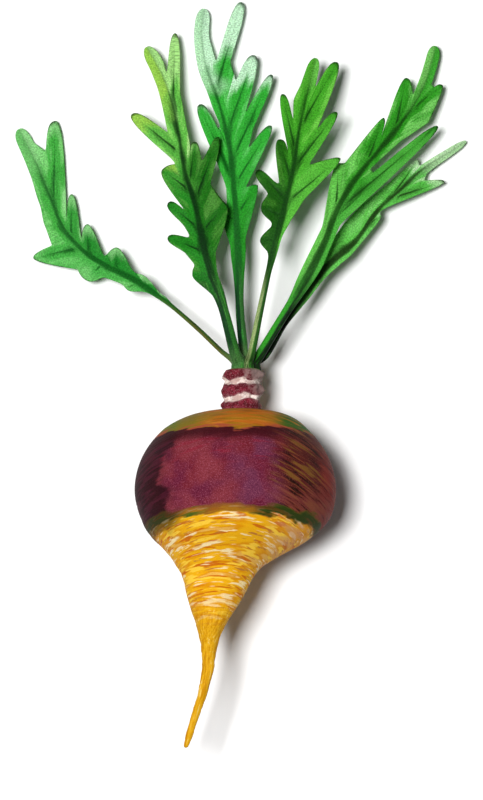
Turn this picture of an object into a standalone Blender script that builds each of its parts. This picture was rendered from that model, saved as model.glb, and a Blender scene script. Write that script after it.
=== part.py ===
"""A rutabaga lying on its side, lifted whole: swollen root, ringed neck, tap root and six lobed leaves.

Metres, +Z up. The origin is the middle of the small flat spot that the root rests on. The neck and the
leaves point along +Y, the tap root along -Y.
"""
import math
from bisect import bisect_right

import bmesh
import bpy
from mathutils import Vector

MM = 0.001

# The root, in millimetres along its own axis from its widest place, positive towards the neck.
ROOT_LIFT = 58.9
ROOT_TILT = math.radians(10.0)
ROOT_SEGMENTS = 32
ROOT_PROFILE = (
    (73.2, 7.0), (72.9, 9.8), (71.6, 11.5), (69.2, 12.2), (66.6, 11.5), (64.8, 10.2), (63.0, 11.4),
    (60.0, 12.3), (56.6, 11.5), (54.8, 10.2), (53.2, 11.0), (50.6, 11.6), (48.0, 11.2), (47.0, 12.8),
    (46.2, 21.5), (43.2, 32.4), (37.2, 42.0), (25.8, 51.9), (14.0, 57.6), (0.0, 60.0), (-12.0, 58.2),
    (-21.0, 54.2), (-29.0, 47.0), (-36.0, 37.6), (-43.0, 28.8), (-50.0, 22.6), (-60.0, 18.2), (-72.0, 13.0),
    (-84.0, 8.2), (-96.0, 4.6), (-108.0, 3.5), (-122.0, 3.1), (-138.0, 2.3), (-151.0, 1.8), (-153.6, 1.1),
)
ROOT_DRIFT = (
    (80.0, 6.2), (64.0, 4.6), (48.0, 3.6), (36.0, 0.5), (-18.0, 0.0), (-33.0, -3.4), (-46.0, -9.4), (-66.0, -12.0),
    (-86.0, -15.0), (-108.0, -16.0), (-124.0, -19.8), (-139.0, -25.0), (-155.0, -29.5),
)
TAIL_DROOP = 0.0011
TAIL_START = -60.0

# Each foot is a place on the crown: across, and up from the middle of the neck.
FOOT_GAP = 0.6
FOOT_RISE = 4.0
BLADE_HALF = 0.42
RIB_TIP = 0.75
STALK_SPACING = 9.0
BLADE_SPACING = 4.2
RING_ANGLES = (165, 135, 105, 75, 45, 15, -15, -45, -75, -105, -135, -165)

# Leaf dimensions in millimetres. The route is the midrib from just above the crown to the tip of the leaf,
# and places along it are counted from the start at the crown.
# Each side is a row of places along the midrib: (along, out) is a plain margin that far from the midrib,
# (along, x, y) is a notch, and (along, x, y, width) is the tip of a finger with its width.
LEAVES = {
    "leaf_far_left": {
        "foot": (-5.6, -1.4), "start": -3.9, "stalk": (3.0, 2.8), "blade": (46, 74),
        "tip": (4.6, 9.0), "wave": 0.3,
        "route": (
            (-8.3, 83.5, 44), (-22.4, 97, 41), (-42.4, 114, 35), (-61.5, 127, 26), (-80, 136.5, 17),
            (-95, 147, 11), (-105.5, 160, 8), (-113.5, 178.5, 6), (-122.5, 200, 4.5), (-132.5, 220, 3.5),
        ),
        "left": (
            (60, 2), (70, -54.5, 120), (77, -66.5, 121.8, 6), (84, -74, 126.5), (94, -80.5, 129),
            (102, -91, 127, 7.5), (110, -96, 133.5), (119, -123.5, 141, 5), (127, -112, 148.5), (140, 9.5),
            (154, 7.5), (174, 6),
        ),
        "right": (
            (52, 2), (58, -44.5, 120, 4), (64, -49.5, 124.5), (72, -55, 129.5, 4), (80, -62, 131.5),
            (92, -72.5, 147, 5.5), (103, -80, 140.5), (112, -90.5, 161.5, 5), (119, -94, 151),
            (127, -100, 180, 5), (133, -103, 163.5), (150, -110, 225, 9.5), (168, -116, 206.5), (190, 4.5),
        ),
    },
    "leaf_left": {
        "foot": (-3.2, 4.0), "start": -2.4, "stalk": (6.8, 6.2), "blade": (30, 62),
        "tip": (4.2, 9.0), "wave": 0.8,
        "route": (
            (0.5, 80.5, 53), (-6.5, 107, 58), (-14, 129, 58), (-19.5, 150, 54), (-24.5, 173, 46),
            (-30.5, 193, 38), (-34, 213, 31), (-38, 233.5, 24), (-44.5, 252, 19), (-54, 269.5, 14),
        ),
        "left": (
            (44, 4.4), (54, -27.5, 129, 5.5), (62, -24, 135), (66, -30.5, 143), (70, -40.5, 152, 6),
            (75, -26, 151), (79, -31.5, 160), (84, -40.5, 173, 6.5), (90, -30, 168), (108, -44, 193.5, 8),
            (125, -35, 197), (132, -63, 227.5, 8.5), (139, -41, 216.5), (158, 6.5), (182, 5.5),
        ),
        "right": (
            (22, 4.2), (34, -2.5, 114.5, 4), (48, -11, 133.5), (64, -11.5, 143), (82, -5.5, 172.5, 8.5),
            (94, -15, 184.5), (101, -10, 213.5, 5), (108, -20, 197.5), (112, -24.5, 210.5, 5),
            (118, -27, 205), (138, 6), (148, -33.5, 242.5), (163, -36.5, 278, 6), (178, -41.5, 252),
            (190, 4.5),
        ),
    },
    "leaf_middle": {
        "foot": (-1.4, -4.4), "start": -2.2, "stalk": (6.0, 5.6), "blade": (34, 70),
        "tip": (4.3, 9.0), "wave": 0.6,
        "route": (
            (5, 80.5, 41), (3, 107, 38), (2, 137.5, 36), (0.5, 168, 32), (-2, 197, 26), (-5.5, 218.5, 22),
            (-11.5, 240, 17), (-18, 258.5, 13), (-20.5, 277.5, 9), (-19, 293.5, 6),
        ),
        "left": (
            (50, 3.8), (74, 4.5), (88, -8, 168.5, 4), (94, -5, 174.5), (99, -5.5, 184), (104, -11, 198),
            (112, -22, 234, 8), (124, -10.5, 219), (148, 3.2), (164, 4.6), (184, 5),
        ),
        "right": (
            (48, 3.8), (78, 5), (92, 13.5, 184.5, 4), (103, 6.5, 183), (110, 22, 221, 6), (116, 8, 206.5),
            (120, 11.5, 220.5), (125, 22.5, 252.5, 6.5), (131, 6, 228), (143, 12, 264.5, 8.5),
            (153, 0.5, 248.5), (165, -3, 261.5), (169, 4, 297.5, 9), (175, -11.5, 260), (204, 4.6),
        ),
    },
    "leaf_inner_right": {
        "foot": (3.0, 5.8), "start": -1.2, "stalk": (4.8, 4.4), "blade": (52, 76),
        "tip": (3.4, 8.0), "wave": 0.6,
        "route": (
            (9.5, 80.5, 56), (15, 107, 61), (20, 130.5, 63), (25, 151.5, 62), (31, 174, 58), (35.5, 195.5, 53),
            (38.5, 215.5, 47), (41.5, 230.5, 41), (45.5, 246.5, 34), (49, 261.5, 29),
        ),
        "left": (
            (68, 2.6), (77, 15, 149, 5), (87, 23.5, 159.5), (92, 15.5, 169, 6), (98, 20, 178),
            (102, 13, 192, 6.5), (106, 27, 181.5), (114, 26.5, 211, 7), (122, 32, 203.5),
            (131, 28.5, 239, 6), (139, 35, 223.5), (162, 7), (176, 5),
        ),
        "right": (
            (64, 2.8), (76, 28, 151.5), (84, 33.5, 161.5), (91, 42, 175), (100, 63.5, 199.5, 4),
            (112, 44.5, 195.5), (121, 61.5, 228, 6), (130, 49.5, 217), (146, 62, 259, 8), (162, 48.5, 243),
            (184, 3.5),
        ),
    },
    "leaf_right": {
        "foot": (6.3, 0.6), "start": -1.6, "stalk": (6.2, 5.6), "blade": (30, 66),
        "tip": (4.0, 8.0), "wave": 0.7,
        "route": (
            (14.5, 80.5, 49), (27, 101, 54), (41.5, 124.5, 55), (53.5, 147.5, 52), (61, 167.5, 46),
            (72, 187, 39), (86.5, 204.5, 31), (101.5, 223, 23), (114, 243, 15), (120.5, 262, 10),
            (122.5, 270.5, 8),
        ),
        "left": (
            (40, 3.6), (60, 5.2), (84, 52.8, 159), (106, 62.5, 197.5, 6.5), (120, 67, 198),
            (140, 90.5, 225.5, 3.5), (152, 88.5, 213), (168, 104.5, 250.5, 6), (184, 108.5, 240), (200, 4),
        ),
        "right": (
            (46, 3.8), (74, 5), (95, 63.5, 160), (106, 123.5, 220.5, 7), (116, 84, 192), (140, 3.5),
            (146, 4), (154, 101, 211.5), (166, 118, 223), (184, 126.5, 246.5, 4), (190, 121.5, 245), (204, 4),
        ),
    },
    "leaf_far_right": {
        "foot": (5.2, -5.8), "start": -0.5, "stalk": (5.4, 5.0), "blade": (28, 60),
        "tip": (2.0, 10.0), "wave": 0.5,
        "route": (
            (17.5, 80.5, 42), (29, 99.5, 42), (43.5, 119.5, 39), (52.5, 131.5, 35), (62.5, 141.5, 32),
            (73.5, 151, 27), (86.5, 169, 21), (100.5, 182, 16), (114, 194.5, 11), (128.5, 204, 7),
            (141.5, 212.5, 4.5),
        ),
        "left": (
            (40, 3.4), (56, 5), (72, 57, 148.5), (88, 66, 161), (104, 79.5, 175.5), (118, 94, 186.5),
            (136, 112, 201, 3), (150, 112, 198), (164, 2.6), (178, 2.6),
        ),
        "right": (
            (44, 3.4), (60, 3.6), (94, 5), (114, 89, 166.5, 3.5), (127, 90, 170.5), (136, 128, 187.5, 3.5),
            (147, 115.5, 188), (164, 3.5), (176, 2.8),
        ),
    },
}

COLOURS = {
    "swollen_root": (0.46, 0.16, 0.10),
    "leaf_far_left": (0.06, 0.24, 0.05),
    "leaf_left": (0.08, 0.27, 0.05),
    "leaf_middle": (0.07, 0.30, 0.08),
    "leaf_inner_right": (0.04, 0.19, 0.02),
    "leaf_right": (0.06, 0.26, 0.04),
    "leaf_far_right": (0.06, 0.27, 0.05),
}


def clear_scene():
    """Start from an empty file."""
    for old in list(bpy.data.objects):
        bpy.data.objects.remove(old, do_unlink=True)


def make_material(name, colour, roughness):
    """A plain skin with the colour seen in the picture."""
    material = bpy.data.materials.new(name)
    material.use_nodes = True
    skin = material.node_tree.nodes["Principled BSDF"]
    skin.inputs["Base Color"].default_value = (*colour, 1.0)
    skin.inputs["Roughness"].default_value = roughness
    skin.inputs["Metallic"].default_value = 0.0
    return material


def add_object(name, mesh_data, roughness):
    """Turn a finished solid into a named, smooth-shaded object with its own material."""
    mesh = bpy.data.meshes.new(name)
    mesh_data.to_mesh(mesh)
    mesh_data.free()
    mesh.materials.append(make_material(name + "_skin", COLOURS[name], roughness))
    mesh.shade_smooth()
    part = bpy.data.objects.new(name, mesh)
    bpy.context.collection.objects.link(part)
    return part


def smoothstep(low, high, value):
    """A soft step from 0 at low to 1 at high."""
    t = min(max((value - low) / (high - low), 0.0), 1.0)
    return t * t * (3.0 - 2.0 * t)


def smooth_line(points, per_span):
    """Centripetal Catmull-Rom curve through the points."""
    knots = [Vector(point) for point in points]
    ends = [2.0 * knots[0] - knots[1], *knots, 2.0 * knots[-1] - knots[-2]]
    line = []
    for p0, p1, p2, p3 in zip(ends, ends[1:], ends[2:], ends[3:]):
        t1 = (p1 - p0).length ** 0.5
        t2 = t1 + (p2 - p1).length ** 0.5
        t3 = t2 + (p3 - p2).length ** 0.5
        for step in range(per_span):
            t = t1 + (t2 - t1) * step / per_span
            a1 = p0.lerp(p1, t / t1)
            a2 = p1.lerp(p2, (t - t1) / (t2 - t1))
            a3 = p2.lerp(p3, (t - t2) / (t3 - t2))
            b1 = a1.lerp(a2, t / t2)
            b2 = a2.lerp(a3, (t - t1) / (t3 - t1))
            line.append(b1.lerp(b2, (t - t1) / (t2 - t1)))
    line.append(knots[-1])
    return line


def read_table(table, place):
    """Value of a table of (place, value) rows at a place, its rows in either order."""
    rows = sorted(table)
    place = min(max(place, rows[0][0]), rows[-1][0])
    for (low, first), (high, second) in zip(rows, rows[1:]):
        if place <= high:
            return first + (second - first) * (place - low) / (high - low)
    return rows[-1][1]


def root_frame(along, across, up):
    """Place in the part, in millimetres, of a place measured in the root's own tilted frame."""
    cos_tilt, sin_tilt = math.cos(ROOT_TILT), math.sin(ROOT_TILT)
    return Vector((across, along * cos_tilt + up * sin_tilt, ROOT_LIFT - along * sin_tilt + up * cos_tilt))


def ring_wave(along, angle):
    """How far, in millimetres, the scar rings wander along the neck on their way round it."""
    on_rings = smoothstep(47.0, 53.0, along) * smoothstep(72.8, 69.5, along)
    return on_rings * (0.9 * math.sin(2.0 * angle + 1.3 + 0.1 * along) + 0.4 * math.sin(5.0 * angle - 0.2 * along))


def root_relief(along, angle):
    """Share by which the skin of the root stands out or in: broad lumps, and knobbly scar rings."""
    broad = 0.010 * math.sin(2.0 * angle + 0.9) + 0.007 * math.sin(3.0 * angle - along / 19.0)
    on_neck = smoothstep(46.0, 51.0, along)
    ring_lumps = 0.050 * math.sin(5.0 * angle + along * 0.55) + 0.035 * math.sin(9.0 * angle - along * 0.3)
    on_tail = smoothstep(-50.0, -75.0, along)
    tail_lumps = 0.05 * math.sin(2.0 * angle + along / 6.0)
    return 1.0 + broad * (1.0 - on_neck) + ring_lumps * on_neck + tail_lumps * on_tail


def build_root():
    """Swollen root, neck and tap root: a turned body, bent, tilted and cut flat where it rests."""
    solid = bmesh.new()
    line = smooth_line([(radius, along, 0.0) for along, radius in ROOT_PROFILE], 2)
    chain = [Vector((0.0, line[0].y + 0.2, 0.0)), *line, Vector((0.0, line[-1].y - 0.6, 0.0))]
    verts = [solid.verts.new(point) for point in chain]
    edges = [solid.edges.new(pair) for pair in zip(verts, verts[1:])]
    bmesh.ops.spin(
        solid, geom=verts + edges, cent=(0, 0, 0), axis=(0, 1, 0), angle=math.tau, steps=ROOT_SEGMENTS,
        use_merge=True,
    )
    bmesh.ops.remove_doubles(solid, verts=solid.verts, dist=0.01)
    for vert in solid.verts:
        angle = math.atan2(vert.co.z, vert.co.x)
        relief = root_relief(vert.co.y, angle)
        along = vert.co.y + ring_wave(vert.co.y, angle)
        droop = TAIL_DROOP * min(along - TAIL_START, 0.0) ** 2
        across = vert.co.x * relief + read_table(ROOT_DRIFT, along)
        vert.co = root_frame(along, across, vert.co.z * relief - droop) * MM
    cut = bmesh.ops.bisect_plane(
        solid, geom=solid.verts[:] + solid.edges[:] + solid.faces[:], dist=1e-7, plane_co=(0, 0, 0),
        plane_no=(0, 0, 1), clear_inner=True,
    )
    rim = [item for item in cut["geom_cut"] if isinstance(item, bmesh.types.BMEdge)]
    bmesh.ops.edgeloop_fill(solid, edges=rim)
    bmesh.ops.triangulate(solid, faces=solid.faces)
    bmesh.ops.recalc_face_normals(solid, faces=solid.faces)
    add_object("swollen_root", solid, 0.5)


class Leaf:
    """One leaf: a midrib in space, and an outline of fingers and notches on each side of it."""

    def __init__(self, shape):
        self.shape = shape
        across, up = shape["foot"]
        crown = ROOT_PROFILE[0][0] + FOOT_GAP
        across += read_table(ROOT_DRIFT, crown)
        foot = [root_frame(crown, across, up), root_frame(crown + FOOT_RISE, across, up)]
        self.line = smooth_line([*foot, *shape["route"]], 12)
        self.run = [shape["start"]]
        for first, second in zip(self.line, self.line[1:]):
            self.run.append(self.run[-1] + (second - first).xy.length)
        self.length = self.run[-1]

    def place(self, along):
        """Middle of the midrib at a distance along it."""
        index = min(max(bisect_right(self.run, along), 1), len(self.run) - 1)
        low, high = self.run[index - 1], self.run[index]
        return self.line[index - 1].lerp(self.line[index], (along - low) / (high - low))

    def tangent(self, along):
        """Direction of the midrib, averaged over a short stretch."""
        reach = min(3.0, 0.4 + along - self.run[0])
        ahead, behind = min(along + reach, self.length), max(along - reach, self.run[0])
        return (self.place(ahead) - self.place(behind)).normalized()

    def heading(self, along):
        """Direction of the midrib seen from above."""
        return self.tangent(along).xy.normalized()

    def sideways(self, side, along):
        """Direction square to the midrib, to one side of it, seen from above."""
        heading = self.heading(along)
        return Vector((-heading.y, heading.x)) * side

    def rib_half(self, along):
        """Half the width of the stalk and midrib."""
        base = self.shape["stalk"][0] / 2.0
        return base + (RIB_TIP - base) * smoothstep(0.0, 1.05 * self.length, along) ** 0.6

    def rounding(self, along):
        """Narrows the leaf to a blunt round tip."""
        tip_run = self.shape["tip"][1]
        into = 0.97 * max(0.0, along - self.length + tip_run) / tip_run
        return math.sqrt(1.0 - into ** 2.5)

    def margin(self, side, along, out):
        """Place on the margin, a set distance out from the midrib."""
        return self.place(along).xy + self.sideways(side, along) * out * self.rounding(along)

    def notch(self, side, row):
        """Place of a notch or of a plain margin."""
        if len(row) == 3:
            return Vector(row[1:])
        return self.margin(side, *row)

    def flank(self, side, notch, tip, other, share):
        """Place on one long edge of a finger, from its notch (share 0) to its tip (share 1)."""
        start, point = self.notch(side, notch), Vector(tip[1:3])
        axis = (point - (start + self.notch(side, other)) / 2.0).normalized()
        outward = Vector((-axis.y, axis.x)) * side * (1.0 if notch[0] < tip[0] else -1.0) * tip[3] / 2.0
        middle = start.lerp(point + outward, 0.5)
        shoulder = point + outward * 1.15
        rest = 1.0 - share
        return (
            start * rest ** 3 + middle * 3.0 * share * rest ** 2 + shoulder * 3.0 * share ** 2 * rest
            + point * share ** 3
        )

    def edge(self, side, along):
        """Place on the leaf's outline that the vein from a place along the midrib runs to."""
        rows = self.shape["left" if side > 0 else "right"]
        if along <= rows[0][0]:
            start = self.rib_half(along)
            widening = smoothstep(rows[0][0] - 12.0, rows[0][0], along)
            return self.margin(side, along, start + (rows[0][1] - start) * widening)
        for index, (first, second) in enumerate(zip(rows, rows[1:])):
            if along > second[0]:
                continue
            share = (along - first[0]) / (second[0] - first[0])
            if len(second) == 4:
                return self.flank(side, first, second, rows[index + 2], share)
            if len(first) == 4:
                return self.flank(side, second, first, rows[index - 1], 1.0 - share)
            if len(first) == 2 and len(second) == 2:
                return self.margin(side, along, first[1] + (second[1] - first[1]) * smoothstep(0, 1, share))
            return self.notch(side, first).lerp(self.notch(side, second), share)
        last_along, last_out = rows[-1]
        share = (along - last_along) / (self.length - last_along)
        return self.margin(side, along, last_out + (self.shape["tip"][0] - last_out) * share)

    def vein(self, side, along):
        """Rib edge, middle and margin of the blade on one side, seen from above."""
        end = self.edge(side, along)
        sideways = self.sideways(side, along)
        centre = self.place(along).xy
        start = centre + sideways * min(self.rib_half(along), 0.6 * (end - centre).dot(sideways))
        return start, (start + end) / 2.0, end

    def height(self, along, spot):
        """Height of the blade's middle surface over a spot reached from a place along the midrib."""
        offset = spot - self.place(along).xy
        ahead = along + offset.dot(self.heading(along))
        beyond = max(ahead - self.length, 0.0)
        level = self.place(min(max(ahead, self.run[0]), self.length)).z - 0.15 * beyond
        away = offset.length
        lift = 0.12 * away * math.exp(-away / 25.0)
        wave = self.shape["wave"] * math.sin(math.tau * along / 21.0) * smoothstep(2.0, 12.0, away)
        return max(level + lift + wave, BLADE_HALF + 1.0)

    def stations(self):
        """Places along the midrib that get a ring of points."""
        blade_start = self.shape["blade"][0]
        tip_run = self.shape["tip"][1]
        keys = {row[0] for side in ("left", "right") for row in self.shape[side]}
        keys |= {self.run[0], self.run[0] + 2.0, blade_start}
        keys |= {self.length - tip_run * share for share in (1.0, 0.45, 0.15, 0.0)}
        stops = sorted(keys)
        places = [stops[0]]
        for low, high in zip(stops, stops[1:]):
            if high - low < 0.7:
                continue
            spacing = STALK_SPACING if high <= blade_start else BLADE_SPACING
            count = math.ceil((high - places[-1]) / spacing)
            places += [places[-1] + (high - places[-1]) * (step + 1) / count for step in range(count)]
        return places

    def ring(self, along):
        """Twelve points round the leaf: over the top from left to right, and back underneath."""
        centre = self.place(along)
        tangent = self.tangent(along)
        across = self.sideways(-1, along).to_3d()
        raised = across.cross(tangent)
        fade = 1.0 - smoothstep(0.0, self.length, along)
        half_wide = self.rib_half(along)
        half_high = self.shape["stalk"][1] / 2.0 * (0.25 + 0.75 * fade)
        blade_share = smoothstep(*self.shape["blade"], along)
        left, right = self.vein(1, along), self.vein(-1, along)
        under_left, under_right = centre.xy.lerp(left[0], 0.6), centre.xy.lerp(right[0], 0.6)
        top = [left[2], left[1], left[0], right[0], right[1], right[2]]
        underside = [right[2], right[1], under_right, under_left, left[1], left[2]]
        thick = [BLADE_HALF] * 2 + [BLADE_HALF + 0.35 * half_high] * 2 + [BLADE_HALF] * 2
        thin = [-BLADE_HALF] * 2 + [-max(half_high, BLADE_HALF + 0.3)] * 2 + [-BLADE_HALF] * 2
        points = []
        for angle, spot, offset in zip(RING_ANGLES, top + underside, thick + thin):
            turn = math.radians(angle)
            round_point = centre + across * half_wide * math.cos(turn) + raised * half_high * math.sin(turn)
            flat_point = Vector((*spot, self.height(along, spot) + offset))
            points.append(round_point.lerp(flat_point, blade_share) * MM)
        return points


def build_leaf(name, shape):
    """A closed leaf: a sheet rolled into a tube of rings along the midrib, with both ends capped."""
    leaf = Leaf(shape)
    rings = [leaf.ring(along) for along in leaf.stations()]
    around = len(RING_ANGLES)
    solid = bmesh.new()
    bmesh.ops.create_grid(solid, x_segments=around, y_segments=len(rings) - 1, size=0.5)
    cells = {}
    for vert in solid.verts:
        cells[vert] = (round((vert.co.x + 0.5) * around), round((vert.co.y + 0.5) * (len(rings) - 1)))
    upper, lower = [], []
    for face in solid.faces:
        first = min(cells[vert][0] for vert in face.verts)
        half = upper if first < around // 2 else lower
        half.append(face)
    bmesh.ops.triangulate(solid, faces=upper, quad_method="FIXED")
    bmesh.ops.triangulate(solid, faces=lower, quad_method="ALTERNATE")
    for vert, (column, row) in cells.items():
        vert.co = rings[row][column % around]
    bmesh.ops.remove_doubles(solid, verts=solid.verts, dist=1e-7)
    rims = [edge for edge in solid.edges if edge.is_boundary]
    caps = bmesh.ops.holes_fill(solid, edges=rims)["faces"]
    bmesh.ops.triangulate(solid, faces=caps)
    bmesh.ops.recalc_face_normals(solid, faces=solid.faces)
    add_object(name, solid, 0.55)


clear_scene()
build_root()
for leaf_name, leaf_shape in LEAVES.items():
    build_leaf(leaf_name, leaf_shape)
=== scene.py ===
"""A rutabaga lying on its side: fine skin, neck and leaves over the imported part, on a pale floor.

The frame is in metres with +Z up. Sizes below are in millimetres. The neck and leaves point along +Y.
"""
import math
from bisect import bisect_right

import bmesh
import bpy
import numpy as np
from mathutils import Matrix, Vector, noise


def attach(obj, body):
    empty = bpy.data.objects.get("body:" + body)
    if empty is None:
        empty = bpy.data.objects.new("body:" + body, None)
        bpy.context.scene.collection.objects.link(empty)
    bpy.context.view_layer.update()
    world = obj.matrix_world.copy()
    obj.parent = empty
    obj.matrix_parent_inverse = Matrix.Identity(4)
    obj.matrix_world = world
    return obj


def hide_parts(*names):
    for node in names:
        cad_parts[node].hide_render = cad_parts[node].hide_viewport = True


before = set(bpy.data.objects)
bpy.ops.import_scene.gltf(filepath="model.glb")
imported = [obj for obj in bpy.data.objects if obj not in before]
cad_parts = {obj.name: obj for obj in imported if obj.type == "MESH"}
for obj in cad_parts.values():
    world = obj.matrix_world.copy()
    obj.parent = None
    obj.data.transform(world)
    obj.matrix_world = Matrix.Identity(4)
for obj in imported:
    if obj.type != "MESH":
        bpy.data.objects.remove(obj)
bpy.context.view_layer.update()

MM = 0.001

# The root, along its own axis from its widest place, positive towards the neck. Profile: (along, radius).
# Drift: (along, how far the axis lies to the right). Creases: the pale places between the scar rings.
# The tap root droops from its start on, by the square of the run.
ROOT_LIFT = 58.9
ROOT_TILT = math.radians(10.0)
ROOT_PROFILE = (
    (73.2, 7.0), (72.9, 9.8), (71.6, 11.5), (69.2, 12.2), (66.6, 11.5), (64.8, 10.2), (63.0, 11.4),
    (60.0, 12.3), (56.6, 11.5), (54.8, 10.2), (53.2, 11.0), (50.6, 11.6), (48.0, 11.2), (47.0, 12.8),
    (46.2, 21.5), (43.2, 32.4), (37.2, 42.0), (25.8, 51.9), (14.0, 57.6), (0.0, 60.0), (-12.0, 58.2),
    (-21.0, 54.2), (-29.0, 47.0), (-36.0, 37.6), (-43.0, 28.8), (-50.0, 22.6), (-60.0, 18.2), (-72.0, 13.0),
    (-84.0, 8.2), (-96.0, 4.6), (-108.0, 3.5), (-122.0, 3.1), (-138.0, 2.3), (-151.0, 1.8), (-153.6, 1.1),
)
ROOT_DRIFT = (
    (80.0, 6.2), (64.0, 4.6), (48.0, 3.6), (36.0, 0.5), (-18.0, 0.0), (-33.0, -3.4), (-46.0, -9.4),
    (-66.0, -12.0), (-86.0, -15.0), (-108.0, -16.0), (-124.0, -19.8), (-139.0, -25.0), (-155.0, -29.5),
)
CREASES = (64.8, 54.8)
TAIL_DROOP = 0.0011
TAIL_START = -60.0
SKIN_SPACING = 1.1
SKIN_SEGMENTS = 168

# Leaves: where the feet sit on the crown, how thick midrib and blade are, and how close the points lie.
FOOT_SINK = -1.4
FOOT_RISE = 6.0
FOOT_DEPTH = 2.0
RIB_TIP = 0.75
BLADE_HALF = 0.42
EDGE_HALF = 0.14
VEIN_SINK = 0.28
STALK_GROOVE = 0.22
FLOOR_GAP = 0.6
ROW_SPACING = 1.8
EDGE_SPACING = 2.2
SIDE_SHARES = (1.0, 0.975, 0.92, 0.83, 0.72, 0.6, 0.48, 0.36, 0.24, 0.12, 0.0)
RIB_SHARES = (0.55, 0.0, -0.55)
TIP_SHARES = (1.0, 0.6, 0.4, 0.25, 0.12, 0.05, 0.0)
SETTLED_COLUMNS = range(1, 8)
SETTLING_ROUNDS = 24

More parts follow.
